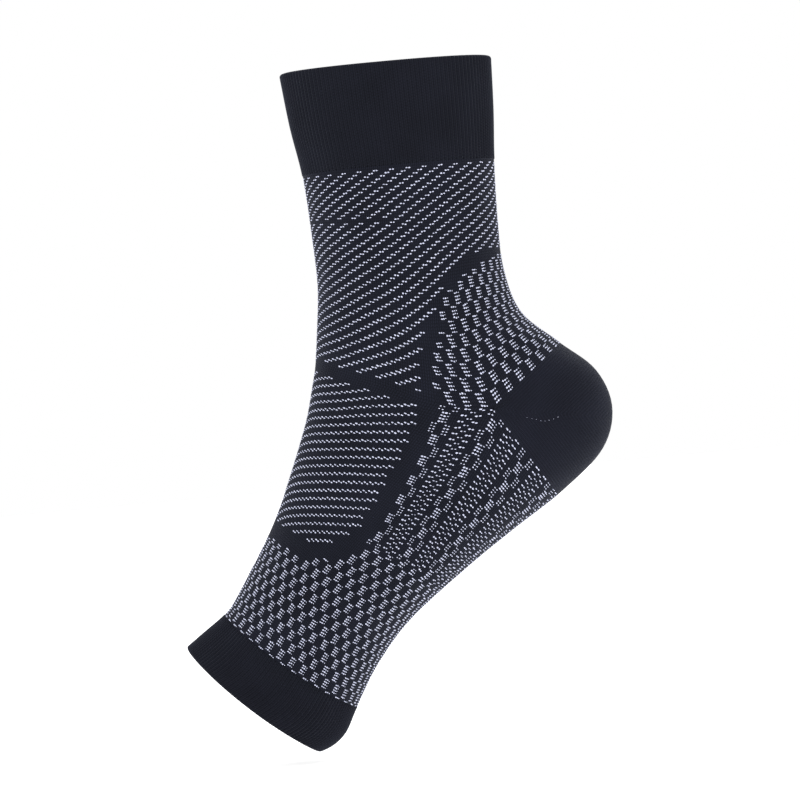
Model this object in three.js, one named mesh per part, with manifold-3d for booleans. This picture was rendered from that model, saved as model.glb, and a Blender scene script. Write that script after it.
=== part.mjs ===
// Ankle compression sleeve with open toes: one bent knitted tube in eight zones.
// Millimetres, +Z up along the leg, toes towards -X, origin at the centre of the ankle.
// The shape is the same on both sides of the XZ plane, which is the plane of the side view.
import * as THREE from 'three';
import { mergeVertices } from 'three/addons/utils/BufferGeometryUtils.js';
import Module from 'manifold-3d';

const wasm = await Module();
wasm.setup();

// Sizes of the sleeve
const legHeight = 124.5; // ankle centre to the cuff's edge
const legDepth = 70; // front to back of the leg at its slimmest
const sleeveWidth = 54; // side to side
const heelReach = 70; // ankle centre to the back of the heel
const heelRise = 30; // ankle centre up to where the heel starts to swing back
const heelDepth = 62; // ankle centre to the sole under the heel, square to the foot's axis
const footLength = 126; // ankle centre to the toe edge, along the foot's axis
const footDepth = 60; // instep to sole at the toe band
const footDrop = 49.5; // degrees that the foot's axis points below level
const sectionPower = 2.25; // 2 is an ellipse, more is squarer

// Sizes of the zones
const cuffDepth = 38;
const toeBandDepth = 20;
const toeBulge = 2.2; // how far the toe band's edges bow out at each side
const toeEdgeSlant = 3; // how much further the toe edge lies at the sole than at the instep
const bandWidth = 5.8;
const creaseWidth = 4.2;
const zoneGap = 0.3; // clearance between neighbouring zones

// Wall thicknesses
const knitWall = 1.2;
const heelWall = 1.5;
const cuffWall = 2;
const toeWall = 1.8;

// Facets, and how close two points are to be welded into one
const weldDistance = 1e-4;
const facetsAround = 32;
const stepsPerRow = 2;
const stepsPerBandPoint = 2;
const stepsPerEdge = 6;

// Points of the side view, as (x, z), from shares of the sizes that they follow
const footAngle = THREE.MathUtils.degToRad(footDrop);
const footAxis = new THREE.Vector2(-Math.cos(footAngle), -Math.sin(footAngle));
const instepAxis = new THREE.Vector2(-Math.sin(footAngle), Math.cos(footAngle));

function alongFoot(along, off) {
  return footAxis.clone().multiplyScalar(along).addScaledVector(instepAxis, off);
}

const leg = (out, up) => new THREE.Vector2(out * legDepth, up * legHeight);
const heel = (out, up) => new THREE.Vector2(out * heelReach, up * heelRise);
const foot = (along, off) => alongFoot(along * footLength, off * footDepth);
const sole = (along, off) => alongFoot(along * footLength, off * heelDepth);

// Sections of the sleeve from above the cuff to past the toes
const sections = [
  { front: leg(-0.595, 1.06), back: leg(0.54, 1.06), width: 1 },
  { front: leg(-0.555, 0.85), back: leg(0.525, 0.85), width: 0.99 },
  { front: leg(-0.51, 0.69), back: leg(0.505, 0.69), width: 0.96 },
  { front: leg(-0.49, 0.5), back: leg(0.495, 0.5), width: 0.94 },
  { front: leg(-0.485, 0.36), back: leg(0.505, 0.36), width: 0.95 },
  { front: leg(-0.51, 0.23), back: heel(0.575, 0.97), width: 0.98 },
  { front: leg(-0.535, 0.13), back: heel(0.755, 0.57), width: 1.02 },
  { front: leg(-0.56, 0.07), back: heel(0.94, 0.18), width: 1.05 },
  { front: foot(0.23, 0.51), back: heel(1.01, -0.3), width: 1.07 },
  { front: foot(0.3, 0.455), back: heel(0.94, -0.8), width: 1.07 },
  { front: foot(0.385, 0.395), back: sole(-0.03, -1.01), width: 1.05 },
  { front: foot(0.5, 0.32), back: sole(0.145, -0.905), width: 1.03 },
  { front: foot(0.61, 0.27), back: sole(0.315, -0.81), width: 1.02 },
  { front: foot(0.71, 0.24), back: foot(0.54, -0.735), width: 1.01 },
  { front: foot(0.78, 0.22), back: foot(0.705, -0.73), width: 1 },
  { front: foot(0.84, 0.215), back: foot(0.84, -0.775), width: 1 },
  { front: foot(0.93, 0.26), back: foot(0.93, -0.81), width: 1.02 },
  { front: foot(1, 0.295), back: foot(1, -0.765), width: 1.03 },
  { front: foot(1.065, 0.315), back: foot(1.065, -0.64), width: 1 },
];

// Where the strap meets the contour band, and the ankle and foot zones meet it from behind
const bandCorner = foot(0, -0.045);

// Middle line of the contour band, from behind the leg to in front of the instep
const bandLine = [
  leg(0.7, 0.43), leg(0.5, 0.42), leg(0.405, 0.405), leg(0.32, 0.39), leg(0.225, 0.35), leg(0.155, 0.28),
  leg(0.1, 0.2), leg(0.06, 0.13), leg(0.045, 0.05), bandCorner, foot(0.09, -0.13), foot(0.24, -0.165),
  foot(0.385, -0.195), foot(0.455, -0.165), foot(0.51, -0.08), foot(0.545, 0.035), foot(0.553, 0.165),
  foot(0.555, 0.3), foot(0.555, 0.6),
];

// Middle line of the strap across the crease, from the band to in front of the ankle
const creaseLine = [leg(0.03, -0.01), leg(-0.19, 0.05), leg(-0.38, 0.094), leg(-0.53, 0.13), leg(-0.75, 0.18)];

// Corners of the heel pocket: its inner point, and where its edges reach the back and the sole
const heelPoint = heel(0.375, -0.18);
const heelTop = heel(0.76, 0.53);
const heelFoot = sole(-0.01, -0.98);

// Where the bow of the toe band's edges begins and ends, as shares of the foot's depth
const bowAtInstep = 0.32;
const bowAtSole = -0.8;

// Lengths that pass every part of the sleeve, and a factor that takes the heel's edges past its outline
const beyond = 3 * (legHeight + footLength + heelReach);
const prismWidth = 2 * sleeveWidth;
const pastHeel = 3;

function solidFrom(geometry) {
  geometry.deleteAttribute('normal');
  geometry.deleteAttribute('uv');
  const merged = mergeVertices(geometry, weldDistance);
  const vertProperties = new Float32Array(merged.attributes.position.array);
  const triVerts = new Uint32Array(merged.index.array);
  return new wasm.Manifold(new wasm.Mesh({ numProp: 3, vertProperties, triVerts }));
}

// A prism across the sleeve whose outline is given in the side view
function prism(outline) {
  const shape = new THREE.Shape(outline);
  const geometry = new THREE.ExtrudeGeometry(shape, { depth: prismWidth, bevelEnabled: false });
  geometry.rotateX(Math.PI / 2);
  geometry.translate(0, prismWidth / 2, 0);
  return solidFrom(geometry);
}

// A prism of one width along a line of the side view
function strip(line, width) {
  const left = [];
  const right = [];
  line.forEach((point, i) => {
    const before = line[Math.max(i - 1, 0)];
    const after = line[Math.min(i + 1, line.length - 1)];
    const direction = after.clone().sub(before).normalize();
    const across = new THREE.Vector2(-direction.y, direction.x).multiplyScalar(width / 2);
    left.push(point.clone().add(across));
    right.unshift(point.clone().sub(across));
  });
  return prism([...right, ...left]);
}

function smooth(points) {
  return new THREE.SplineCurve(points).getPoints(stepsPerBandPoint * (points.length - 1));
}

// The whole sleeve as a filled body, its sections drawn in by an inset
function filledSleeve(inset) {
  const fronts = [];
  const backs = [];
  for (const row of sections) {
    fronts.push(new THREE.Vector3(row.front.x, row.width * sleeveWidth / 2, row.front.y));
    backs.push(new THREE.Vector3(row.back.x, 0, row.back.y));
  }
  const frontCurve = new THREE.CatmullRomCurve3(fronts, false, 'catmullrom');
  const backCurve = new THREE.CatmullRomCurve3(backs, false, 'catmullrom');
  const steps = stepsPerRow * (sections.length - 1);
  const positions = [];
  const centres = [];
  for (let step = 0; step <= steps; step += 1) {
    const front = frontCurve.getPoint(step / steps);
    const back = backCurve.getPoint(step / steps);
    const halfWidth = front.y - inset;
    const reach = new THREE.Vector2(back.x - front.x, back.z - front.z).multiplyScalar(0.5);
    const drawnIn = 1 - inset / reach.length();
    const centre = new THREE.Vector2(back.x + front.x, back.z + front.z).multiplyScalar(0.5);
    centres.push(centre);
    for (let facet = 0; facet < facetsAround; facet += 1) {
      const angle = 2 * Math.PI * facet / facetsAround;
      const toBack = Math.sign(Math.cos(angle)) * Math.abs(Math.cos(angle)) ** (2 / sectionPower);
      const toSide = Math.sign(Math.sin(angle)) * Math.abs(Math.sin(angle)) ** (2 / sectionPower);
      const x = centre.x + reach.x * drawnIn * toBack;
      const z = centre.y + reach.y * drawnIn * toBack;
      positions.push(x, halfWidth * toSide, z);
    }
  }
  const topCentre = positions.length / 3;
  positions.push(centres[0].x, 0, centres[0].y);
  positions.push(centres[steps].x, 0, centres[steps].y);
  const index = [];
  for (let facet = 0; facet < facetsAround; facet += 1) {
    const next = (facet + 1) % facetsAround;
    for (let step = 0; step < steps; step += 1) {
      const here = step * facetsAround;
      const below = here + facetsAround;
      index.push(here + facet, below + facet, here + next);
      index.push(here + next, below + facet, below + next);
    }
    index.push(topCentre, facet, next);
    index.push(topCentre + 1, steps * facetsAround + next, steps * facetsAround + facet);
  }
  const geometry = new THREE.BufferGeometry();
  geometry.setAttribute('position', new THREE.Float32BufferAttribute(positions, 3));
  geometry.setIndex(index);
  return solidFrom(geometry);
}

// Regions of the side view
const cuffFoot = legHeight - cuffDepth;
const toeSeam = footLength - toeBandDepth;

function cuffRegion() {
  return prism([
    new THREE.Vector2(-beyond, cuffFoot), new THREE.Vector2(beyond, cuffFoot),
    new THREE.Vector2(beyond, legHeight), new THREE.Vector2(-beyond, legHeight),
  ]);
}

// A line across the foot at a distance from the ankle, bowed towards the toes where the foot is
function acrossFoot(distance, slant) {
  const instepEnd = alongFoot(distance - slant / 2, bowAtInstep * footDepth);
  const soleEnd = alongFoot(distance + slant / 2, bowAtSole * footDepth);
  const middle = instepEnd.clone().lerp(soleEnd, 0.5).addScaledVector(footAxis, 2 * toeBulge);
  const bow = new THREE.QuadraticBezierCurve(instepEnd, middle, soleEnd).getPoints(stepsPerEdge);
  return [alongFoot(distance - slant / 2, beyond), ...bow, alongFoot(distance + slant / 2, -beyond)];
}

function toeRegion() {
  return prism([...acrossFoot(toeSeam, 0), ...acrossFoot(footLength, toeEdgeSlant).reverse()]);
}

// Everything between the cuff and the toe band, clear of both
function middleRegion() {
  const top = cuffFoot - zoneGap;
  const belowCuff = prism([
    new THREE.Vector2(-beyond, -beyond), new THREE.Vector2(beyond, -beyond),
    new THREE.Vector2(beyond, top), new THREE.Vector2(-beyond, top),
  ]);
  const seam = acrossFoot(toeSeam - zoneGap, 0);
  const beforeToes = prism([...seam, alongFoot(-beyond, -beyond), alongFoot(-beyond, beyond)]);
  return belowCuff.intersect(beforeToes);
}

function heelRegion() {
  const upper = heelPoint.clone().lerp(heelTop, pastHeel);
  const lower = heelPoint.clone().lerp(heelFoot, pastHeel);
  const outer = upper.clone().add(lower).sub(heelPoint);
  return prism([heelPoint, lower, outer, upper]);
}

// Gaps along the heel pocket's edges, and between the ankle and foot zones
function rearSeams() {
  const past = (end) => heelPoint.clone().lerp(end, pastHeel);
  const seam = (from, to) => strip([from, to], zoneGap);
  return seam(heelPoint, past(heelTop)).add(seam(heelPoint, past(heelFoot))).add(seam(heelPoint, bandCorner));
}

function bandRegion(margin) {
  const band = strip(smooth(bandLine), bandWidth + 2 * margin);
  return band.add(strip(smooth(creaseLine), creaseWidth + 2 * margin));
}

// The largest separate bodies of a solid, the highest one first
function bodiesOf(solid, count) {
  const bodies = solid.decompose().sort((a, b) => b.volume() - a.volume()).slice(0, count);
  return bodies.sort((a, b) => b.boundingBox().max[2] - a.boundingBox().max[2]);
}

const outside = filledSleeve(0);
const wall = (thickness) => outside.subtract(filledSleeve(thickness));
const knit = wall(knitWall);
const middle = knit.intersect(middleRegion());
const [calf, rear, instep] = bodiesOf(middle.subtract(bandRegion(zoneGap)), 3);
const heelPocket = wall(heelWall).intersect(heelRegion()).subtract(rearSeams()).subtract(bandRegion(zoneGap));
const [ankle, footBody] = bodiesOf(rear.subtract(heelRegion()).subtract(rearSeams()), 2);

function knitMaterial(color) {
  return new THREE.MeshStandardMaterial({ color, roughness: 0.95, metalness: 0 });
}

const groundColour = 0x20222c;
const dashColour = 0x474957;
const checkColour = 0x5a5c6b;

const sleeve = new THREE.Group();

function addZone(name, solid, colour) {
  const mesh = solid.getMesh();
  const geometry = new THREE.BufferGeometry();
  geometry.setAttribute('position', new THREE.Float32BufferAttribute(mesh.vertProperties, 3));
  geometry.setIndex(new THREE.Uint32BufferAttribute(mesh.triVerts, 1));
  geometry.computeVertexNormals();
  const zone = new THREE.Mesh(geometry, knitMaterial(colour));
  zone.name = name;
  sleeve.add(zone);
}

addZone('cuff_band', wall(cuffWall).intersect(cuffRegion()), groundColour);
addZone('calf_zone', calf, dashColour);
addZone('instep_zone', instep, dashColour);
addZone('support_band', middle.intersect(bandRegion(0)), groundColour);
addZone('ankle_zone', ankle, checkColour);
addZone('heel_pocket', heelPocket, groundColour);
addZone('foot_zone', footBody, checkColour);
addZone('toe_band', wall(toeWall).intersect(toeRegion()), groundColour);

export default sleeve;
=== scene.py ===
import math

import bpy
import numpy as np
from mathutils import Matrix, Vector
from mathutils.bvhtree import BVHTree


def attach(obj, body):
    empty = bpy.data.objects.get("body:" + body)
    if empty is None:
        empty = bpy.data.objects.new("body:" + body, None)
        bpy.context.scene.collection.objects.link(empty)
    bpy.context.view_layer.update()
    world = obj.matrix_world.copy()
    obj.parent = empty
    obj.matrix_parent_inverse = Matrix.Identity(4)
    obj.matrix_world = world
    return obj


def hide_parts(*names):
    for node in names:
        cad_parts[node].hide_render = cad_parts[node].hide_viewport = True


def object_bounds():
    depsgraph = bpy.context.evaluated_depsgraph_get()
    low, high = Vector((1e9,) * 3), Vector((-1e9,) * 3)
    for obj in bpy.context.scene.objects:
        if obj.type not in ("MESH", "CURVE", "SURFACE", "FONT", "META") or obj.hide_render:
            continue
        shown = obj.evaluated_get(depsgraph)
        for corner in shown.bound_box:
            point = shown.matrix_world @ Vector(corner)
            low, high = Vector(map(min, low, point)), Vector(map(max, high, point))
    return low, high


# The knitted surface of an ankle compression sleeve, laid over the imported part.
# Plan points are (x, z) in millimetres, as in the part's side view; meshes are in metres.

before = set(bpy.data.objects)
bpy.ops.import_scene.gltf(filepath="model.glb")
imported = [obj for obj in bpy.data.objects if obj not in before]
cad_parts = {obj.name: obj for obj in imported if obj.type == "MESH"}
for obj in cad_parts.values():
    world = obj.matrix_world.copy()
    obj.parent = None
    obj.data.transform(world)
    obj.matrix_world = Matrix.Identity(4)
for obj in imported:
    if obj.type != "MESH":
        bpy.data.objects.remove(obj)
cad_low, cad_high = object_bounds()

MM = 0.001

# Sizes that the part's side view is drawn from
LEG_HEIGHT = 124.5
LEG_DEPTH = 70.0
SLEEVE_WIDTH = 54.0
HEEL_REACH = 70.0
HEEL_RISE = 30.0
HEEL_DEPTH = 62.0
FOOT_LENGTH = 126.0
FOOT_DEPTH = 60.0
FOOT_DROP = math.radians(49.5)
SECTION_POWER = 2.25
CUFF_DEPTH = 38.0
TOE_BAND_DEPTH = 20.0
TOE_BULGE = 2.2
TOE_EDGE_SLANT = 3.0
BOW_AT_INSTEP = 0.32
BOW_AT_SOLE = -0.8

# Wall thicknesses of the zones
WALLS = {"cuff_band": 2.0, "toe_band": 1.8, "heel_pocket": 1.5}
KNIT_WALL = 1.2

# The knit: wales run along the tube and courses run round it
WALES_PER_SIDE = 66
LEG_COURSES = 76
FOOT_COURSES = 111
PLAIN_COURSES = 1
HEEL_COURSES = 30

# How finely lines and patches are worked out
DENSE_POINTS = 400
LINE_POINTS = 200
SEAM_POINTS = 81
SEAM_MIDDLE = SEAM_POINTS // 2
PATCH_COLUMNS = 90
HEEL_COLUMNS = 60
EASING_ROUNDS = 400
HALVINGS = 26

FOOT_AXIS = np.array([-math.cos(FOOT_DROP), -math.sin(FOOT_DROP)])
INSTEP_AXIS = np.array([-math.sin(FOOT_DROP), math.cos(FOOT_DROP)])


def leg(out, up):
    return np.array([out * LEG_DEPTH, up * LEG_HEIGHT])


def heel(out, up):
    return np.array([out * HEEL_REACH, up * HEEL_RISE])


def along_foot(along, off):
    return along * FOOT_AXIS + off * INSTEP_AXIS


def foot(along, off):
    return along_foot(along * FOOT_LENGTH, off * FOOT_DEPTH)


def sole(along, off):
    return along_foot(along * FOOT_LENGTH, off * HEEL_DEPTH)


# Sections from above the cuff to past the toes: front point, back point, share of the width
SECTIONS = [
    (leg(-0.595, 1.06), leg(0.54, 1.06), 1),
    (leg(-0.555, 0.85), leg(0.525, 0.85), 0.99),
    (leg(-0.51, 0.69), leg(0.505, 0.69), 0.96),
    (leg(-0.49, 0.5), leg(0.495, 0.5), 0.94),
    (leg(-0.485, 0.36), leg(0.505, 0.36), 0.95),
    (leg(-0.51, 0.23), heel(0.575, 0.97), 0.98),
    (leg(-0.535, 0.13), heel(0.755, 0.57), 1.02),
    (leg(-0.56, 0.07), heel(0.94, 0.18), 1.05),
    (foot(0.23, 0.51), heel(1.01, -0.3), 1.07),
    (foot(0.3, 0.455), heel(0.94, -0.8), 1.07),
    (foot(0.385, 0.395), sole(-0.03, -1.01), 1.05),
    (foot(0.5, 0.32), sole(0.145, -0.905), 1.03),
    (foot(0.61, 0.27), sole(0.315, -0.81), 1.02),
    (foot(0.71, 0.24), foot(0.54, -0.735), 1.01),
    (foot(0.78, 0.22), foot(0.705, -0.73), 1),
    (foot(0.84, 0.215), foot(0.84, -0.775), 1),
    (foot(0.93, 0.26), foot(0.93, -0.81), 1.02),
    (foot(1, 0.295), foot(1, -0.765), 1.03),
    (foot(1.065, 0.315), foot(1.065, -0.64), 1),
]
HEEL_POINT = heel(0.375, -0.18)
HEEL_TOP = heel(0.76, 0.53)
HEEL_FOOT = sole(-0.01, -0.98)


def through(points, count):
    """Points of a smooth line through the given ones, evenly spaced in their order."""
    points = np.asarray(points, float)
    ends = [2 * points[0] - points[1], *points, 2 * points[-1] - points[-2]]
    padded_points = np.array(ends)
    place = np.linspace(0, len(points) - 1, count)
    first = np.minimum(place.astype(int), len(points) - 2)
    t = (place - first)[:, None]
    a, b, c, d = (padded_points[first + k] for k in range(4))
    return 0.5 * (2 * b + (c - a) * t + (2 * a - 5 * b + 4 * c - d) * t**2 + (3 * b - a - 3 * c + d) * t**3)


TABLE_SIZE = 1801
FRONT_TABLE = through([row[0] for row in SECTIONS], TABLE_SIZE)
BACK_TABLE = through([row[1] for row in SECTIONS], TABLE_SIZE)
WIDTH_TABLE = through([[row[2] * SLEEVE_WIDTH / 2] for row in SECTIONS], TABLE_SIZE)[:, 0]
PLACES = np.linspace(0, 1, TABLE_SIZE)


def from_table(table, place):
    if table.ndim == 1:
        return np.interp(place, PLACES, table)
    return np.stack([np.interp(place, PLACES, table[:, k]) for k in range(table.shape[1])], axis=-1)


def half_width(plan):
    """How far the surface stands from the middle plane at plan points, in millimetres."""
    low = np.zeros(plan.shape[:-1])
    high = np.ones(plan.shape[:-1])
    for _ in range(HALVINGS):
        middle = (low + high) / 2
        front = from_table(FRONT_TABLE, middle)
        across = from_table(BACK_TABLE, middle) - front
        offset = plan - front
        below = across[..., 0] * offset[..., 1] - across[..., 1] * offset[..., 0] < 0
        low = np.where(below, middle, low)
        high = np.where(below, high, middle)
    front = from_table(FRONT_TABLE, low)
    across = from_table(BACK_TABLE, low) - front
    share = ((plan - front) * across).sum(-1) / (across**2).sum(-1)
    inside = 1 - np.abs(2 * np.clip(share, 0, 1) - 1) ** SECTION_POWER
    return from_table(WIDTH_TABLE, low) * inside ** (1 / SECTION_POWER)


# Plan lines that the courses are drawn between


def part_of(table, first, last, count, ease=1):
    """Part of an outline from place first to last; ease is the spacing at its start against the mean."""
    dense = from_table(table, np.linspace(first, last, DENSE_POINTS))
    return respaced(dense, count, ease)


def respaced(line, count, ease=1, power=2):
    """Points along a line, their spacing growing or falling from ease times the mean."""
    steps = np.hypot(*np.diff(line, axis=0).T)
    length = np.concatenate([[0], np.cumsum(steps)])
    t = np.linspace(0, 1, count)
    share = ease * t + (1 - ease) * t**power
    return np.stack([np.interp(share * length[-1], length, line[:, k]) for k in range(2)], axis=-1)


def place_where(table, value):
    """The place in a table of an outline where a falling value passes zero."""
    return float(np.interp(0, -value(table), PLACES))


def place_nearest(table, point):
    return float(PLACES[np.hypot(*(table - point).T).argmin()])


CUFF_SEAM = LEG_HEIGHT - CUFF_DEPTH
TOE_SEAM = FOOT_LENGTH - TOE_BAND_DEPTH


# How far the bowed line is drawn past its ends, as a share of its length, before it is cut at the outline
BOW_OVERRUN = 0.12


def across_foot(distance, slant, count=SEAM_POINTS):
    """The bowed line across the foot from the instep's outline to the sole's."""
    instep_end = along_foot(distance - slant / 2, BOW_AT_INSTEP * FOOT_DEPTH)
    sole_end = along_foot(distance + slant / 2, BOW_AT_SOLE * FOOT_DEPTH)
    middle = (instep_end + sole_end) / 2 + 2 * TOE_BULGE * FOOT_AXIS
    t = np.linspace(-BOW_OVERRUN, 1 + BOW_OVERRUN, DENSE_POINTS)[:, None]
    bow = (1 - t) ** 2 * instep_end + 2 * t * (1 - t) * middle + t**2 * sole_end
    inside = half_width(bow) > 0
    bow = bow[inside]
    first = FRONT_TABLE[np.hypot(*(FRONT_TABLE - bow[0]).T).argmin()]
    last = BACK_TABLE[np.hypot(*(BACK_TABLE - bow[-1]).T).argmin()]
    return respaced(np.array([first, *bow, last]), count, 1)


def at_level(z):
    front = place_where(FRONT_TABLE, lambda line: line[:, 1] - z)
    back = place_where(BACK_TABLE, lambda line: line[:, 1] - z)
    return front, back


CREASE_FRONT = 17.8
front_top, back_top = at_level(CUFF_SEAM)
front_crease = at_level(CREASE_FRONT)[0]
back_heel_top = place_nearest(BACK_TABLE, HEEL_TOP)
back_heel_foot = place_nearest(BACK_TABLE, HEEL_FOOT)
heel_top_end = from_table(BACK_TABLE, np.array(back_heel_top))
heel_foot_end = from_table(BACK_TABLE, np.array(back_heel_foot))
crease_end = from_table(FRONT_TABLE, np.array(front_crease))
seam_line = across_foot(TOE_SEAM, 0)
front_seam = place_nearest(FRONT_TABLE, seam_line[0])
back_seam = place_nearest(BACK_TABLE, seam_line[-1])

CREASE_LINE = respaced(
    through(
        [crease_end, (-32.2, 14.3), (-26.6, 11.7), (-13.3, 6.6), (0, 0.3), (13, -3.6), HEEL_POINT],
        LINE_POINTS,
    ),
    LINE_POINTS,
)
SIDE_WALE_LEG = through(
    [(0, CUFF_SEAM), (4.6, 69), (10.5, 50), (15.6, 33), (19.7, 16), HEEL_POINT],
    LINE_POINTS,
)
SIDE_WALE_FOOT = through(
    [
        HEEL_POINT,
        (24, -10.4),
        (19.7, -20.4),
        (14.5, -28.5),
        (8.3, -35.3),
        (-8, -50),
        (-24, -64.5),
        (-40, -78.5),
        seam_line[SEAM_MIDDLE],
    ],
    LINE_POINTS,
)


def filled(near_side, far_side, first, last):
    """A patch of plan points [course, place] between two sides, from a first course to a last one."""
    rows = len(near_side)
    columns = len(first)
    t = np.linspace(0, 1, rows)[:, None, None]
    a = np.linspace(0, 1, columns)[None, :, None]
    sides = (1 - a) * near_side[:, None] + a * far_side[:, None]
    ends = (1 - t) * first[None] + t * last[None]
    corners = (
        (1 - a) * (1 - t) * first[0]
        + a * (1 - t) * first[-1]
        + (1 - a) * t * last[0]
        + a * t * last[-1]
    )
    return sides + ends - corners


def straight(start, end, count):
    return np.linspace(np.asarray(start, float), np.asarray(end, float), count)


def eased(plan, shares):
    """Rounds off the bend that the courses have at the side wale, the more the larger their share."""
    plan = plan.copy()
    for k in range(EASING_ROUNDS):
        rows = shares > k / EASING_ROUNDS
        chosen = plan[rows]
        chosen[:, 1:-1] = (chosen[:, :-2] + 2 * chosen[:, 1:-1] + chosen[:, 2:]) / 4
        plan[rows] = chosen
    return plan


# Spacing of the courses at the start of each line against the line's mean, and how it changes
LEG_FRONT_EASE = 1.07
LEG_BACK_EASE = 1.04
LEG_SIDE_EASE = 0.87
LEG_SIDE_POWER = 3
FOOT_FRONT_EASE = 0.86
FOOT_SIDE_EASE = 1.28
FOOT_SIDE_POWER = 1.38


def two_patches(front, side, back, first, last):
    """Courses from the front outline over the side wale to the back outline. first and last hold the
    lines before and behind the side wale where the courses start and end."""
    before = filled(front, side, first[0], last[0])
    behind = filled(side, back, first[1], last[1])
    return np.concatenate([before, behind[:, 1:]], axis=1)


def leg_courses():
    rows = LEG_COURSES + 1
    front = part_of(FRONT_TABLE, front_top, front_crease, rows, LEG_FRONT_EASE)
    back = part_of(BACK_TABLE, back_top, back_heel_top, rows, LEG_BACK_EASE)
    side = respaced(SIDE_WALE_LEG, rows, LEG_SIDE_EASE, LEG_SIDE_POWER)
    first = (straight(front[0], side[0], PATCH_COLUMNS), straight(side[0], back[0], PATCH_COLUMNS))
    last = (respaced(CREASE_LINE, PATCH_COLUMNS), straight(HEEL_POINT, heel_top_end, PATCH_COLUMNS))
    return eased(two_patches(front, side, back, first, last), np.linspace(1, 0, rows))


def foot_courses():
    rows = FOOT_COURSES + 1
    front = part_of(FRONT_TABLE, front_crease, front_seam, rows, FOOT_FRONT_EASE)
    back = part_of(BACK_TABLE, back_heel_foot, back_seam, rows)
    side = respaced(SIDE_WALE_FOOT, rows, FOOT_SIDE_EASE, FOOT_SIDE_POWER)
    first = (respaced(CREASE_LINE, PATCH_COLUMNS), straight(HEEL_POINT, heel_foot_end, PATCH_COLUMNS))
    last = (
        respaced(seam_line[: SEAM_MIDDLE + 1], PATCH_COLUMNS),
        respaced(seam_line[SEAM_MIDDLE:], PATCH_COLUMNS),
    )
    return eased(two_patches(front, side, back, first, last), np.linspace(0, 1, rows))


def heel_courses():
    edge = part_of(BACK_TABLE, back_heel_top, back_heel_foot, HEEL_COURSES + 1)
    reach = np.linspace(0, 1, HEEL_COLUMNS)[None, :, None]
    return HEEL_POINT + reach * (edge[:, None] - HEEL_POINT)


# Steps over which the surface's direction is measured
SHARE_STEP = 0.004
COURSE_STEP = 0.6
TINY = 1e-9


def unit(vectors):
    return vectors / np.maximum(np.sqrt((vectors**2).sum(-1, keepdims=True)), TINY)


class Courses:
    """A family of courses: surface points at any wale share (0 front, 1 back) and course number."""

    def __init__(self, plan, samples=241):
        # Points lie closest together near both outlines, where the surface turns away fastest
        share = (1 - np.cos(np.linspace(0, math.pi, 4 * samples))) / 2
        rows = []
        for line in plan:
            steps = np.hypot(*np.diff(line, axis=0).T)
            length = np.concatenate([[0], np.cumsum(steps)])
            places = share * length[-1]
            rows.append(np.stack([np.interp(places, length, line[:, k]) for k in range(2)], axis=-1))
        dense = np.array(rows)
        side = half_width(dense)
        side[:, 0] = 0
        side[:, -1] = 0
        points = np.stack([dense[..., 0], -side, dense[..., 1]], axis=-1)
        even = []
        for line in points:
            steps = np.sqrt((np.diff(line, axis=0) ** 2).sum(-1))
            length = np.concatenate([[0], np.cumsum(steps)])
            share = np.linspace(0, 1, samples) * length[-1]
            even.append(np.stack([np.interp(share, length, line[:, k]) for k in range(3)], axis=-1))
        self.points = np.array(even)
        self.samples = samples

    def at(self, share, course):
        """Points at wale share 0 to 2 (past 1 is the far side) and course number, in millimetres."""
        share = np.mod(share, 2.0)
        far = share > 1
        share = np.where(far, 2 - share, share) * (self.samples - 1)
        course = np.clip(course, 0, len(self.points) - 1)
        i = np.minimum(course.astype(int), len(self.points) - 2)
        j = np.minimum(share.astype(int), self.samples - 2)
        u = (share - j)[..., None]
        v = (course - i)[..., None]
        p = self.points
        found = (1 - v) * ((1 - u) * p[i, j] + u * p[i, j + 1])
        found = found + v * ((1 - u) * p[i + 1, j] + u * p[i + 1, j + 1])
        found[..., 1] = np.where(far, -found[..., 1], found[..., 1])
        return found

    def normal(self, share, course):
        """Outward direction of the surface there."""
        du = self.at(share + SHARE_STEP, course) - self.at(share - SHARE_STEP, course)
        low = np.maximum(course - COURSE_STEP, 0)
        high = np.minimum(course + COURSE_STEP, len(self.points) - 1)
        dv = self.at(share, high) - self.at(share, low)
        return unit(np.cross(dv, du))


leg_family = Courses(leg_courses())
foot_family = Courses(foot_courses())


# The CAD surface, to know which zone a point of the knit belongs to

zone_names = sorted(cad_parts)
tree_points = []
tree_faces = []
face_zones = []
for zone_number, zone_name in enumerate(zone_names):
    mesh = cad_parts[zone_name].data
    base = len(tree_points)
    tree_points.extend([v.co / MM for v in mesh.vertices])
    for polygon in mesh.polygons:
        tree_faces.append([base + k for k in polygon.vertices])
        face_zones.append(zone_number)
tree = BVHTree.FromPolygons(tree_points, tree_faces)


def zones_at(points):
    """The number of the CAD node nearest to each point, in the order of zone_names."""
    flat = points.reshape(-1, 3)
    found = [face_zones[tree.find_nearest(Vector(p))[2]] for p in flat]
    return np.array(found).reshape(points.shape[:-1])


# How the wales lie along the tube


# Wales by which the knit has turned forward on the near side, at courses from the cuff's seam down
TWISTED_COURSES = [0, 12, 30, 50, 60, LEG_COURSES]
TWIST_IN_WALES = [0, 2.3, 5.0, 7.3, 8.9, 12.6]
FOOT_TWIST_PER_COURSE = 0.07


def twist_of_leg(course):
    return np.interp(course, TWISTED_COURSES, TWIST_IN_WALES)


def twist_of_foot(course):
    return twist_of_leg(LEG_COURSES) + FOOT_TWIST_PER_COURSE * np.asarray(course, float)


# On the ankle and foot, places are counted in lobes of yarn from the back or sole midline.
# These are the lobes from that line to the front, on the foot at the counted courses.
LOBES_PER_WALE = 1.5
LOBES_ON_ANKLE = 133
COUNTED_COURSES = [4, 27, 52, 90, FOOT_COURSES]
LOBES_ON_FOOT = [104, 109, 114, 110, 109]


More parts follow.
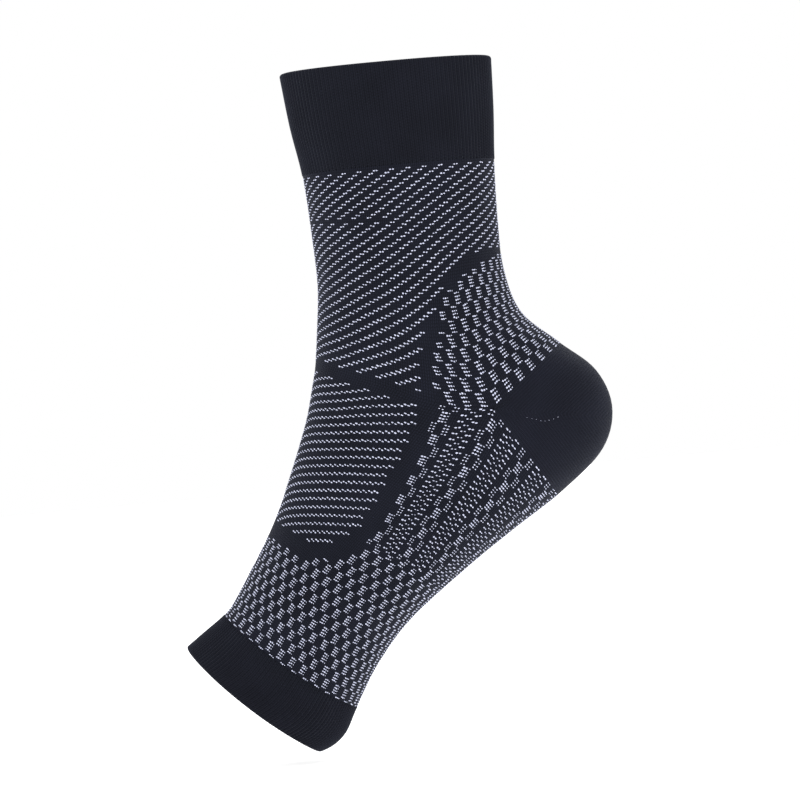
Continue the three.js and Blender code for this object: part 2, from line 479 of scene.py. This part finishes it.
def lobes_to_front(course, on_foot):
    if on_foot:
        return np.interp(course, COUNTED_COURSES, LOBES_ON_FOOT)
    return np.full(np.shape(course), float(LOBES_ON_ANKLE))


def wales_from_back(share, course, on_foot):
    """Wales from the back or sole midline to points at a wale share of 0 to 2."""
    return np.abs(1 - share) * lobes_to_front(course, on_foot) / LOBES_PER_WALE


# Materials


def new_material(name):
    material = bpy.data.materials.new(name)
    material.use_nodes = True
    tree_of = material.node_tree
    shader = tree_of.nodes["Principled BSDF"]
    return material, tree_of, shader


def value_node(tree_of, operation, a, b=None):
    node = tree_of.nodes.new("ShaderNodeMath")
    node.operation = operation
    for k, value in enumerate((a, b)):
        if value is None:
            continue
        if isinstance(value, (int, float)):
            node.inputs[k].default_value = value
        else:
            tree_of.links.new(value, node.inputs[k])
    return node.outputs[0]


# How much the painted highlight on stitch crests, against painted shade in their valleys, and the uneven tone
# of patches and fibres lighten the yarn, and how far fibres stand out
STITCH_PAINTED_SHADE = 0.55
PATCH_SHADE = 0.5
FIBRE_SHADE = 0.25
FIBRE_RELIEF = 0.35
COURSE_ROUNDNESS = 0.6


def noise_node(tree_of, scale, detail):
    """Noise fixed to the piece, finer the larger its scale."""
    coordinates = tree_of.nodes.new("ShaderNodeTexCoord")
    noise = tree_of.nodes.new("ShaderNodeTexNoise")
    noise.inputs["Scale"].default_value = scale
    noise.inputs["Detail"].default_value = detail
    tree_of.links.new(coordinates.outputs["Object"], noise.inputs["Vector"])
    return noise.outputs[0]


def add_ramp(tree_of, shader, factor, dark, light):
    """Colours the surface from dark to light, each given as its place on the ramp and its colour."""
    ramp = tree_of.nodes.new("ShaderNodeValToRGB")
    for element, (position, shade) in zip(ramp.color_ramp.elements, (dark, light)):
        element.position = position
        element.color = (*shade, 1)
    tree_of.links.new(factor, ramp.inputs[0])
    tree_of.links.new(ramp.outputs[0], shader.inputs["Base Color"])


def add_bump(tree_of, shader, height, strength, depth):
    """Relief of a depth in millimetres."""
    bump = tree_of.nodes.new("ShaderNodeBump")
    bump.inputs["Strength"].default_value = strength
    bump.inputs["Distance"].default_value = depth * MM
    tree_of.links.new(height, bump.inputs["Height"])
    tree_of.links.new(bump.outputs[0], shader.inputs["Normal"])


def stitch_height(tree_of, slant, stagger):
    """Height of plain knit: in each wale two legs lean together, one pair to each course. Each wale
    starts a share of a course, the stagger, past the one before it."""
    uv = tree_of.nodes.new("ShaderNodeUVMap")
    uv.uv_map = "knit"
    split = tree_of.nodes.new("ShaderNodeSeparateXYZ")
    tree_of.links.new(uv.outputs[0], split.inputs[0])
    wale = value_node(tree_of, "FRACT", split.outputs[0])
    middle = value_node(tree_of, "SUBTRACT", wale, 0.5)
    from_middle = value_node(tree_of, "ABSOLUTE", middle)
    doubled = value_node(tree_of, "MULTIPLY", from_middle, 2.0)
    legs = value_node(tree_of, "SINE", value_node(tree_of, "MULTIPLY", doubled, math.pi))
    leaning = value_node(tree_of, "MULTIPLY", doubled, slant)
    shifted = value_node(tree_of, "ADD", split.outputs[1], leaning)
    whole_wale = value_node(tree_of, "FLOOR", split.outputs[0])
    later = value_node(tree_of, "MULTIPLY", whole_wale, stagger)
    staggered = value_node(tree_of, "ADD", shifted, later)
    row = value_node(tree_of, "FRACT", staggered)
    rows = value_node(tree_of, "SINE", value_node(tree_of, "MULTIPLY", row, math.pi))
    rounded = value_node(tree_of, "POWER", rows, COURSE_ROUNDNESS)
    return value_node(tree_of, "MULTIPLY", legs, rounded)


def knit_material(name, dark, light, depth, slant, stagger=0, sheen=0.06):
    """Dark knitted yarn: stitches in relief, with painted shade between them and a painted highlight on their
    crests, with loose fibres and patches of uneven tone."""
    material, tree_of, shader = new_material(name)
    height = stitch_height(tree_of, slant, stagger)
    patches = noise_node(tree_of, 60, 3)
    fibres = noise_node(tree_of, 2600, 4)
    # The colour is lighter on the stitch crests and darker between the stitch legs: painted highlight and
    # painted shade, with uneven tone from patches and fibres added
    shade = value_node(tree_of, "MULTIPLY", height, STITCH_PAINTED_SHADE)
    for noise, share in ((patches, PATCH_SHADE), (fibres, FIBRE_SHADE)):
        shade = value_node(tree_of, "ADD", shade, value_node(tree_of, "MULTIPLY", noise, share))
    add_ramp(tree_of, shader, shade, (0.2, dark), (1.0, light))
    loose = value_node(tree_of, "MULTIPLY", fibres, FIBRE_RELIEF)
    add_bump(tree_of, shader, value_node(tree_of, "ADD", height, loose), 1.0, depth)
    shader.inputs["Roughness"].default_value = 0.85
    shader.inputs["Specular IOR Level"].default_value = 0.08
    shader.inputs["Sheen Weight"].default_value = sheen
    shader.inputs["Sheen Roughness"].default_value = 0.45
    shader.inputs["Sheen Tint"].default_value = (0.62, 0.68, 0.9, 1)
    return material


def white_material():
    """White yarn with a lavender cast, its fibres a little uneven in tone."""
    material, tree_of, shader = new_material("white_yarn")
    fibres = noise_node(tree_of, 2200, 3)
    add_ramp(tree_of, shader, fibres, (0.3, (0.31, 0.335, 0.46)), (0.62, (0.69, 0.715, 0.88)))
    add_bump(tree_of, shader, fibres, 0.6, 0.06)
    shader.inputs["Roughness"].default_value = 0.75
    shader.inputs["Specular IOR Level"].default_value = 0.25
    shader.inputs["Sheen Weight"].default_value = 0.1
    return material


def colour(red, green, blue):
    """A colour given as it looks on screen, from 0 to 255."""
    parts = [value / 255 for value in (red, green, blue)]
    return tuple(v / 12.92 if v <= 0.04045 else ((v + 0.055) / 1.055) ** 2.4 for v in parts)


ground = knit_material("ground_knit", colour(8, 9, 14), colour(27, 29, 40), 0.16, 0.45)
heel_knit = knit_material("heel_knit", colour(9, 10, 16), colour(28, 30, 41), 0.14, 0.2)
rib_knit = knit_material(
    "rib_knit", colour(7, 8, 12), colour(26, 27.5, 37), 0.09, 0.3, stagger=0.5, sheen=0.1
)
white = white_material()


# Meshes


def add_mesh(name, points, faces, material, normals=None, uvs=None):
    """A mesh object from points in millimetres. normals are per point and uvs are per face corner."""
    mesh = bpy.data.meshes.new(name)
    mesh.vertices.add(len(points))
    mesh.vertices.foreach_set("co", (np.asarray(points) * MM).astype(np.float32).ravel())
    faces = np.asarray(faces, np.int32)
    mesh.loops.add(faces.size)
    mesh.loops.foreach_set("vertex_index", faces.ravel())
    mesh.polygons.add(len(faces))
    width = faces.shape[1]
    mesh.polygons.foreach_set("loop_start", np.arange(len(faces), dtype=np.int32) * width)
    mesh.polygons.foreach_set("use_smooth", np.full(len(faces), True))
    mesh.update(calc_edges=True)
    mesh.validate()
    if uvs is not None:
        layer = mesh.uv_layers.new(name="knit")
        layer.data.foreach_set("uv", np.asarray(uvs, np.float32).ravel())
    if normals is not None:
        mesh.normals_split_custom_set_from_vertices([tuple(n) for n in normals])
    mesh.materials.append(material)
    obj = bpy.data.objects.new(name, mesh)
    bpy.context.scene.collection.objects.link(obj)
    return obj


class Cloth:
    """Collects the faces of one zone, outside and inside, and the edges that close its wall."""

    def __init__(self):
        self.points = []
        self.normals = []
        self.faces = []
        self.uvs = []
        self.count = 0

    def add(self, points, normals, faces, uvs):
        self.points.append(points)
        self.normals.append(normals)
        self.faces.append(faces + self.count)
        self.uvs.append(uvs)
        self.count += len(points)


cloths = {name: Cloth() for name in zone_names}


def add_grid(family, courses, wales, uv_of, names):
    """Splits one family's grid of quads among the zones that they lie in."""
    share = wales / WALES_PER_SIDE
    s, c = np.meshgrid(share, courses)
    points = family.at(s, c)
    normals = family.normal(s, c)
    rows, columns = s.shape
    middle_s = (s[:-1, :-1] + s[:-1, 1:]) / 2
    middle_c = (c[:-1, :-1] + c[1:, :-1]) / 2
    zone = zones_at(family.at(middle_s, middle_c))
    allowed = [zone_names.index(n) for n in names]
    index = np.arange(rows * columns).reshape(rows, columns)
    quads = np.stack([index[:-1, :-1], index[1:, :-1], index[1:, 1:], index[:-1, 1:]], axis=-1)
    for number in allowed:
        name = zone_names[number]
        chosen = zone == number
        if number == allowed[0]:
            chosen = chosen | ~np.isin(zone, allowed)
        if not chosen.any():
            continue
        picked = quads[chosen]
        used, inverse = np.unique(picked, return_inverse=True)
        outer = points.reshape(-1, 3)[used]
        outward = normals.reshape(-1, 3)[used]
        uv = uv_of(s.ravel()[used], c.ravel()[used], name)
        picked = inverse.reshape(picked.shape)
        wall = WALLS.get(name, KNIT_WALL)
        inner = outer - outward * wall
        count = len(used)
        edges = np.concatenate([picked[:, [k, (k + 1) % 4]] for k in range(4)])
        keys = edges[:, 0].astype(np.int64) * count + edges[:, 1]
        back_keys = edges[:, 1].astype(np.int64) * count + edges[:, 0]
        border = edges[~np.isin(keys, back_keys)]
        sides = np.stack([border[:, 1], border[:, 0], border[:, 0] + count, border[:, 1] + count], axis=-1)
        faces = np.concatenate([picked, picked[:, ::-1] + count, sides])
        both_uv = np.concatenate([uv, uv])
        cloth = cloths[name]
        cloth.add(
            np.concatenate([outer, inner]),
            np.concatenate([outward, -outward]),
            faces,
            both_uv[faces.ravel()],
        )


def leg_uv(s, c, name):
    if name == "ankle_zone":
        return np.stack([wales_from_back(s, c, False), c], axis=-1)
    return np.stack([s * WALES_PER_SIDE + twist_of_leg(c), c], axis=-1)


def foot_uv(s, c, name):
    if name == "foot_zone":
        return np.stack([wales_from_back(s, c, True), c], axis=-1)
    return np.stack([s * WALES_PER_SIDE + twist_of_foot(c), c], axis=-1)


half_wales = np.arange(0, 4 * WALES_PER_SIDE + 1) / 2
add_grid(
    leg_family,
    np.arange(LEG_COURSES + 1, dtype=float),
    half_wales,
    leg_uv,
    ["calf_zone", "support_band", "ankle_zone", "instep_zone"],
)
add_grid(
    foot_family,
    np.arange(FOOT_COURSES + 1, dtype=float),
    half_wales,
    foot_uv,
    ["foot_zone", "support_band", "instep_zone", "ankle_zone"],
)

# The heel: a fan round its inner point, its courses along its two edges
HEEL_WALE = 1.1
HEEL_COURSE = 1.0

heel_plan = heel_courses()
heel_side = half_width(heel_plan)
heel_side[:, -1] = 0
near = np.stack([heel_plan[..., 0], -heel_side, heel_plan[..., 1]], axis=-1)
heel_steps = np.sqrt((np.diff(near, axis=1) ** 2).sum(-1))
to_back = np.cumsum(heel_steps[:, ::-1], axis=1)[:, ::-1]
to_back = np.concatenate([to_back, np.zeros((len(to_back), 1))], axis=1)


def from_line(plan, end):
    """Distance of plan points from the line that leaves the heel's inner point for one end."""
    along = (end - HEEL_POINT) / np.hypot(*(end - HEEL_POINT))
    offset = plan - HEEL_POINT
    return np.abs(offset[..., 0] * along[1] - offset[..., 1] * along[0])


heel_course = np.minimum(from_line(heel_plan, heel_top_end), from_line(heel_plan, heel_foot_end))


def heel_patch(side):
    points = near * np.array([1, side, 1])
    du = np.gradient(points, axis=1)
    dv = np.gradient(points, axis=0)
    dv[:, 0] = dv[:, 1]
    n = unit(np.cross(dv, du) * side)
    n[:, -1] = unit(n[:, -1] * np.array([1, 0, 1]))
    rows, columns = points.shape[:2]
    index = np.arange(rows * columns).reshape(rows, columns)
    quads = np.stack([index[:-1, :-1], index[1:, :-1], index[1:, 1:], index[:-1, 1:]], axis=-1).reshape(-1, 4)
    if side < 0:
        quads = quads[:, ::-1]
    outer = points.reshape(-1, 3)
    outward = n.reshape(-1, 3)
    count = len(outer)
    uv = np.stack([to_back.ravel() / HEEL_WALE, heel_course.ravel() / HEEL_COURSE], axis=-1)
    faces = np.concatenate([quads, quads[:, ::-1] + count])
    both = np.concatenate([uv, uv])
    cloths["heel_pocket"].add(
        np.concatenate([outer, outer - outward * WALLS["heel_pocket"]]),
        np.concatenate([outward, -outward]),
        faces,
        both[faces.ravel()],
    )


heel_patch(1)
heel_patch(-1)


# The ribbed bands at the cuff and the toes

RIB_STEPS = 6
RIB_HEIGHT = 0.22
RIB_COURSE = 1.06
EDGE_STEPS = 8
RIM_COURSES = 2


def ribbed(name, plan, wall, turn):
    """A ribbed band over rows of plan points; the last row is the free edge, which is rounded over.
    turn is -1 where the rows run up the leg, so that faces and normals still point outward."""
    along_count = len(plan)
    family = Courses(plan)
    columns = 2 * WALES_PER_SIDE * RIB_STEPS
    share = np.arange(columns) / columns * 2
    s, c = np.meshgrid(share, np.arange(along_count, dtype=float))
    outer = family.at(s, c)
    normal = family.normal(s, c)
    if turn < 0:
        normal = -normal
    rib = RIB_HEIGHT * np.cos(2 * math.pi * share * WALES_PER_SIDE)[None, :, None]
    edge_way = unit(outer[-1] - outer[-2])
    rows = [outer[i] + normal[i] * rib[0] for i in range(along_count)]
    ways = [normal[i] for i in range(along_count)]
    uv_rows = list(range(along_count))
    end = outer[-1] - edge_way * wall / 2
    rows[-1] = end + normal[-1] * rib[0]
    for k in range(1, EDGE_STEPS):
        angle = math.pi * k / EDGE_STEPS
        way = math.cos(angle) * normal[-1] + math.sin(angle) * edge_way
        centre = end - normal[-1] * wall / 2
        rows.append(centre + way * (wall / 2) + normal[-1] * rib[0] * math.cos(angle))
        ways.append(way)
        uv_rows.append(along_count - 1 + k / EDGE_STEPS * wall / RIB_COURSE)
    for i in range(along_count - 1, -1, -1):
        base = end if i == along_count - 1 else outer[i]
        rows.append(base - normal[i] * wall)
        ways.append(-normal[i])
        uv_rows.append(along_count + RIM_COURSES + (along_count - 1 - i))
    rows = np.array(rows)
    ways = np.array(ways)
    count_rows = len(rows)
    index = np.arange(count_rows * columns).reshape(count_rows, columns)
    after = np.roll(index, -1, axis=1)
    quads = np.stack([index[:-1], index[1:], after[1:], after[:-1]], axis=-1).reshape(-1, 4)
    reach = np.sqrt(((outer[-1] - outer[0]) ** 2).sum(-1)).mean()
    spacing = reach / (along_count - 1) / RIB_COURSE
    wale = np.arange(columns + 1) / RIB_STEPS
    uv_grid = np.stack(np.meshgrid(wale, np.array(uv_rows) * spacing), axis=-1)
    corners = [uv_grid[:-1, :-1], uv_grid[1:, :-1], uv_grid[1:, 1:], uv_grid[:-1, 1:]]
    corner = np.stack(corners, axis=2).reshape(-1, 4, 2)
    if turn < 0:
        quads = quads[:, ::-1]
        corner = corner[:, ::-1]
    closing = np.stack([index[0], after[0], after[-1], index[-1]], axis=-1)
    if turn < 0:
        closing = closing[:, ::-1]
    quads = np.concatenate([quads, closing])
    corner = np.concatenate([corner, np.zeros((len(closing), 4, 2))])
    return add_mesh(name, rows.reshape(-1, 3), quads, rib_knit, None, corner)


def outlined(first, last, front_places, back_places, rows):
    """Rows of plan points from one line to another, between the front and back outlines."""
    front = part_of(FRONT_TABLE, *front_places, rows, 1)
    back = part_of(BACK_TABLE, *back_places, rows, 1)
    front = front + np.linspace(0, 1, rows)[:, None] * (last[0] - front[-1])
    back = back + np.linspace(0, 1, rows)[:, None] * (last[-1] - back[-1])
    return filled(front, back, first, last)


LINE = 161
CUFF_ROWS = 20
TOE_ROWS = 14
front_rim, back_rim = at_level(LEG_HEIGHT)
cuff_first, cuff_last = (
    straight(from_table(FRONT_TABLE, np.array(front)), from_table(BACK_TABLE, np.array(back)), LINE)
    for front, back in ((front_top, back_top), (front_rim, back_rim))
)
cuff = ribbed(
    "cuff_rib",
    outlined(cuff_first, cuff_last, (front_top, front_rim), (back_top, back_rim), CUFF_ROWS),
    WALLS["cuff_band"],
    -1,
)
toe_edge = across_foot(FOOT_LENGTH, TOE_EDGE_SLANT, LINE)
toe_front = place_nearest(FRONT_TABLE, toe_edge[0])
toe_back = place_nearest(BACK_TABLE, toe_edge[-1])
toe = ribbed(
    "toe_rib",
    outlined(
        respaced(seam_line, LINE), toe_edge, (front_seam, toe_front), (back_seam, toe_back), TOE_ROWS
    ),
    WALLS["toe_band"],
    1,
)


def finish_piece(piece, slot, *nodes):
    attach(piece, "root")
    if nodes:
        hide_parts(*nodes)


finish_piece(cuff, "plain_knit", "cuff_band")
finish_piece(toe, "plain_knit", "toe_band")

ZONE_SLOTS = {
    "calf_zone": "dash_knit",
    "instep_zone": "dash_knit",
    "ankle_zone": "check_knit",
    "foot_zone": "check_knit",
    "support_band": "plain_knit",
    "heel_pocket": "plain_knit",
}

for name, slot in ZONE_SLOTS.items():
    cloth = cloths[name]
    piece = add_mesh(
        name + "_cloth",
        np.concatenate(cloth.points),
        np.concatenate(cloth.faces),
        heel_knit if name == "heel_pocket" else ground,
        np.concatenate(cloth.normals),
        np.concatenate(cloth.uvs),
    )
    finish_piece(piece, slot, name)


# White stitches, each of two or three lobes of yarn side by side

LOBE_SIDES = 6
LOBE_WIDTH = 0.5
LOBE_LENGTH = 0.3
LOBE_RISE = 0.27
LOBE_RINGS = [(1.0, -0.6), (0.82, 0.6)]


def lobe_ring(size, height):
    """One ring of a lobe: wales across, courses along, and rise, each as a share."""
    angle = np.arange(LOBE_SIDES) / LOBE_SIDES * 2 * math.pi
    across = LOBE_WIDTH * size * np.cos(angle)
    along = LOBE_LENGTH * size * np.sin(angle)
    return np.stack([across, along, np.full(LOBE_SIDES, height)], axis=-1)


LOBE_POINTS = np.concatenate([*(lobe_ring(*row) for row in LOBE_RINGS), [[0, 0, 1.0]]])
around = np.arange(LOBE_SIDES)
following = (around + 1) % LOBE_SIDES
top = np.full(LOBE_SIDES, 2 * LOBE_SIDES)
LOBE_FACES = np.concatenate(
    [
        np.stack([around, following, LOBE_SIDES + following], axis=-1),
        np.stack([around, LOBE_SIDES + following, LOBE_SIDES + around], axis=-1),
        np.stack([LOBE_SIDES + around, LOBE_SIDES + following, top], axis=-1),
    ]
)

# Each kind of stitch: how far each lobe stands towards the front, in lobes, and its size
DASH = 0
BLOCK = 1
FAINT = 2
DOT = 3
DIM_DOT = 4
STITCH_LOBES = {
    DASH: [(-0.5, 0.86), (0.5, 0.92)],
    BLOCK: [(-0.96, 0.58), (0, 0.92), (0.92, 0.92)],
    FAINT: [(-0.5, 0.66), (0.5, 0.7)],
    DOT: [(-0.5, 0.84), (0.5, 0.98)],
    DIM_DOT: [(-0.5, 0.6), (0.5, 0.72)],
}
UNEVEN_WIDTH = 0.08
UNEVEN_LENGTH = 0.12
UNEVEN_PLACE = 0.06
unevenness = np.random.default_rng(11)

# The support band's own knit is narrower than its solid: by the shift along x round one height, and
# by the rise behind and above one place. Both fade in over the spans.
BAND_SHIFT = 2.4
SHIFT_HEIGHT = 36
SHIFT_SPAN = 10
BAND_RISE = 1.4
RISE_ABOVE = 38
RISE_ABOVE_SPAN = 6
RISE_BEHIND = 20
RISE_BEHIND_SPAN = 12
EDGE_COURSES = 1.2


def moved_off_band(centre, away):
    """Plan places by which stitches near the support band are told from it."""
    centre = centre.copy()
    near_height = np.clip(1 - np.abs(centre[:, 2] - SHIFT_HEIGHT) / SHIFT_SPAN, 0, 1)
    centre[:, 0] -= away * BAND_SHIFT * near_height
    high = np.clip((centre[:, 2] - RISE_ABOVE) / RISE_ABOVE_SPAN, 0, 1)
    behind = np.clip((centre[:, 0] - RISE_BEHIND) / RISE_BEHIND_SPAN, 0, 1)
    centre[:, 2] += away * BAND_RISE * high * behind
    return centre


def add_stitches(name, family, shares, courses, kinds, steps, slot, zone, away=0):
    """Joins the stitches of one zone into one mesh. Each is centred at a wale share and course, and
    its lobes are steps apart. away is above 0 where stitches reach over the support band's upper edge
    and below 0 where they reach over its lower edge."""
    within = np.clip(courses, EDGE_COURSES, len(family.points) - 1 - EDGE_COURSES)
    centre = moved_off_band(family.at(shares, within), away)
    keep = zones_at(centre) == zone_names.index(zone)
    shares, courses, kinds, steps = (values[keep] for values in (shares, courses, kinds, steps))
    forward = np.where(shares > 1, 1, -1)
    centres = []
    for kind, lobes in STITCH_LOBES.items():
        chosen = kinds == kind
        for offset, size in lobes:
            place = shares[chosen] + forward[chosen] * offset * steps[chosen]
            sizes = np.full(chosen.sum(), size)
            centres.append(np.stack([place, courses[chosen], steps[chosen], sizes], axis=-1))
    share, course, step, size = np.concatenate(centres).T
    wide = size * (1 + UNEVEN_WIDTH * unevenness.standard_normal(len(size)))
    tall = size * (1 + UNEVEN_LENGTH * unevenness.standard_normal(len(size)))
    course = course + UNEVEN_PLACE * unevenness.standard_normal(len(size))
    s = share[:, None] + LOBE_POINTS[None, :, 0] * (wide * step)[:, None]
    c = course[:, None] + LOBE_POINTS[None, :, 1] * tall[:, None]
    rise = LOBE_POINTS[None, :, 2:3] * LOBE_RISE * size[:, None, None]
    points = family.at(s, c) + family.normal(s, c) * rise
    faces = LOBE_FACES[None] + (np.arange(len(size)) * len(LOBE_POINTS))[:, None, None]
    piece = add_mesh(name, points.reshape(-1, 3), faces.reshape(-1, 3), white)
    finish_piece(piece, slot)


# One course of the calf lacks its stitches, from the front as far as a wale share
DROPPED_COURSE = PLAIN_COURSES + 17
DROPPED_UP_TO = 0.42
TWILL_WALES = 4


def twill(family, first_course, course_count, offset, twist, zone, name, away=0):
    """Slanting stripes right round the tube: each course's white stitches are four wales apart."""
    w, c = np.meshgrid(np.arange(2 * WALES_PER_SIDE), np.arange(first_course, course_count))
    on = (w + c + offset) % TWILL_WALES == 0
    w = w[on]
    c = c[on]
    share = np.mod((w + 0.5 - twist(c + 0.5)) / WALES_PER_SIDE, 2)
    if zone == "calf_zone":
        dropped = (c == DROPPED_COURSE) & (share < DROPPED_UP_TO)
        share = share[~dropped]
        c = c[~dropped]
    steps = np.full(len(share), 1 / (WALES_PER_SIDE * LOBES_PER_WALE))
    add_stitches(name, family, share, c + 0.5, np.full(len(share), DASH), steps, "dash_knit", zone, away)


twill(leg_family, PLAIN_COURSES, LEG_COURSES, 0, twist_of_leg, "calf_zone", "calf_stitches", 1)
twill(foot_family, 0, FOOT_COURSES, LEG_COURSES, twist_of_foot, "instep_zone", "instep_stitches")


BLOCK_COURSES = 4
BLOCK_LOBES = 3
BRICK_COLUMNS = np.arange(-40, 41)


def brick_chart(first_course, course_count, centre, turn):
    """Blocks of three lobes by four courses. The columns are three lobes apart, every other one moved."""
    column, c = np.meshgrid(BRICK_COLUMNS, np.arange(first_course, course_count))
    on = ((c + turn) // BLOCK_COURSES + column) % 2 == 0
    return [(BLOCK, centre + BLOCK_LOBES * column[on], c[on])]


# The foot's chart, in lobes from the sole's midline and courses from the heel; a turn is the number
# of courses by which a column's blocks stand nearer the heel
ARCH_REPEAT = 14
FIRST_BRIGHT = 12
ARCH_TURNS = np.array([1, 0, 2, 2, 2, 2, 2])
BRICKS_FROM = 56
BRICKS_CENTRE = FIRST_BRIGHT + 3 * ARCH_REPEAT
BRICKS_TURN = 6

# The same for the ankle, in lobes from the back's midline
ANKLE_CENTRE = 3
ANKLE_TURN = 4


def arch_chart(course_count):
    """Columns of bright blocks with fainter blocks beside them and three strips of dots between."""
    column, c = np.meshgrid(np.arange(len(ARCH_TURNS)), np.arange(BRICKS_FROM))
    first = FIRST_BRIGHT + ARCH_REPEAT * column
    bright = (c + ARCH_TURNS[column]) % (2 * BLOCK_COURSES) >= BLOCK_COURSES
    even = c % 2 == 0
    rows = np.arange(BRICKS_FROM)
    middle_even = rows[rows % 2 == 0]
    middle_odd = rows[rows % 2 == 1]
    return [
        (BLOCK, first[bright], c[bright]),
        (FAINT, first[~bright] - 2, c[~bright]),
        (FAINT, first[~bright] + 2, c[~bright]),
        (DOT, first[even] - 5, c[even]),
        (DOT, first[even] + 5, c[even]),
        (DIM_DOT, first[~even] + 7, c[~even]),
        (DOT, np.full(len(middle_even), 3), middle_even),
        (DIM_DOT, np.full(len(middle_odd), 1), middle_odd),
        (DIM_DOT, np.full(len(middle_odd), 5), middle_odd),
        *brick_chart(BRICKS_FROM, course_count, BRICKS_CENTRE, BRICKS_TURN),
    ]


def from_back(chart, family, on_foot, zone, name, away=0):
    """A chart's stitches, counted in lobes from the back or sole midline, the same on both sides."""
    kinds = np.concatenate([np.full(len(c), kind) for kind, w, c in chart])
    w = np.concatenate([w for kind, w, c in chart]).astype(float)
    c = np.concatenate([c for kind, w, c in chart]) + 0.5
    steps = 1 / lobes_to_front(c, on_foot)
    near_side = (w >= 0) & (w * steps < 1)
    far_side = (w > 0) & (w * steps < 1)
    shares = np.concatenate([(1 - w * steps)[near_side], (1 + w * steps)[far_side]])
    kinds, c, steps = (np.concatenate([values[near_side], values[far_side]]) for values in (kinds, c, steps))
    add_stitches(name, family, shares, c, kinds, steps, "check_knit", zone, away)


ankle_bricks = brick_chart(0, LEG_COURSES, ANKLE_CENTRE, ANKLE_TURN)
from_back(ankle_bricks, leg_family, False, "ankle_zone", "ankle_stitches", -1.5)
from_back(arch_chart(FOOT_COURSES), foot_family, True, "foot_zone", "arch_stitches")


# The line of small stitches that closes the heel pocket at each side

CLOSING_LINE = through([(38.2, -9.9), (41.2, -10.8), (43.9, -11.7), (46.6, -11.6), (49.6, -10.8)], 8)
CLOSING_SIZE = np.array([0.15, 0.11, 0.1])
CLOSING_UNEVENNESS = 0.25
SLOPE_STEP = 0.4


def width_slope(step):
    """How the surface widens along a step in plan, at each stitch of the closing line."""
    ahead = half_width(CLOSING_LINE + np.array(step))
    behind = half_width(CLOSING_LINE - np.array(step))
    return (ahead - behind) / (2 * SLOPE_STEP)


def closing_stitches():
    width = half_width(CLOSING_LINE)
    slope_x = width_slope((SLOPE_STEP, 0))
    slope_z = width_slope((0, SLOPE_STEP))
    way = np.gradient(CLOSING_LINE, axis=0)
    points = []
    faces = []
    for side in (-1, 1):
        for k, (x, z) in enumerate(CLOSING_LINE):
            outward = unit(np.array([-slope_x[k], side, -slope_z[k]]))
            across = unit(np.cross(outward, (way[k][0], 0, way[k][1])))
            along = np.cross(across, outward)
            frame_of = np.array([along, across, outward]) * CLOSING_SIZE[:, None]
            scale = 1 + CLOSING_UNEVENNESS * unevenness.standard_normal()
            lobe = LOBE_POINTS / (LOBE_WIDTH, LOBE_LENGTH, 1) * (scale, scale, 1)
            turned = LOBE_FACES if side < 0 else LOBE_FACES[:, ::-1]
            faces.append(turned + len(points) * len(LOBE_POINTS))
            points.append(np.array([x, side * width[k], z]) + lobe @ frame_of)
    piece = add_mesh("closing_stitches", np.concatenate(points), np.concatenate(faces), white)
    finish_piece(piece, "dash_knit")


closing_stitches()


# Camera, light and floor

PIXELS_PER_MM = 2.7
PICTURE_SIDE = 800
ORIGIN_PIXEL = (420, 400)
CAMERA_DISTANCE = 1.8
LEAN = math.radians(5.2)
SENSOR = 36
camera_data = bpy.data.cameras.new("camera")
camera = bpy.data.objects.new("camera", camera_data)
bpy.context.scene.collection.objects.link(camera)
camera_data.sensor_width = SENSOR
camera_data.lens = SENSOR * CAMERA_DISTANCE / (PICTURE_SIDE / PIXELS_PER_MM * MM)
off_u, off_v = ((PICTURE_SIDE / 2 - pixel) / PIXELS_PER_MM for pixel in ORIGIN_PIXEL)
centre_x = off_u * math.cos(LEAN) - off_v * math.sin(LEAN)
centre_z = -off_u * math.sin(LEAN) - off_v * math.cos(LEAN)
upright = Matrix.Rotation(math.radians(90), 4, "X")
rolled = Matrix.Rotation(LEAN, 4, "Y")
camera.matrix_world = Matrix.Translation((centre_x * MM, -CAMERA_DISTANCE, centre_z * MM)) @ rolled @ upright
bpy.context.scene.camera = camera

FLOOR_GAP = 0.004
FLOOR_REACH = 6
floor_level = cad_low[2] - FLOOR_GAP
floor_corners = [
    (x * FLOOR_REACH, y * FLOOR_REACH, floor_level) for x, y in ((-1, -1), (1, -1), (1, 1), (-1, 1))
]
floor_mesh = bpy.data.meshes.new("floor")
floor_mesh.from_pydata(floor_corners, [], [(0, 1, 2, 3)])
floor = bpy.data.objects.new("floor", floor_mesh)
bpy.context.scene.collection.objects.link(floor)
floor_material, floor_tree, floor_shader = new_material("pale_floor")
floor_shader.inputs["Base Color"].default_value = (0.9, 0.9, 0.9, 1)
floor_shader.inputs["Roughness"].default_value = 0.9
floor_shader.inputs["Emission Color"].default_value = (1, 1, 1, 1)
floor_shader.inputs["Emission Strength"].default_value = 0.6
floor_mesh.materials.append(floor_material)

world = bpy.data.worlds.new("studio")
bpy.context.scene.world = world
world.use_nodes = True
world.node_tree.nodes["Background"].inputs["Color"].default_value = (1, 1, 1, 1)
world.node_tree.nodes["Background"].inputs["Strength"].default_value = 1.0


def add_light(name, place, size, power):
    data = bpy.data.lights.new(name, "AREA")
    data.shape = "SQUARE"
    data.size = size
    data.energy = power
    light = bpy.data.objects.new(name, data)
    bpy.context.scene.collection.objects.link(light)
    light.location = place
    light.rotation_euler = (-Vector(place)).to_track_quat("-Z", "Y").to_euler()


add_light("key_light", (-0.7, -1.3, 1.2), 0.8, 7)
add_light("fill_light", (1.0, -1.2, 0.4), 0.9, 3)
add_light("rear_light", (0.3, 1.3, 0.9), 0.9, 6)

bpy.context.scene.view_settings.view_transform = "Standard"
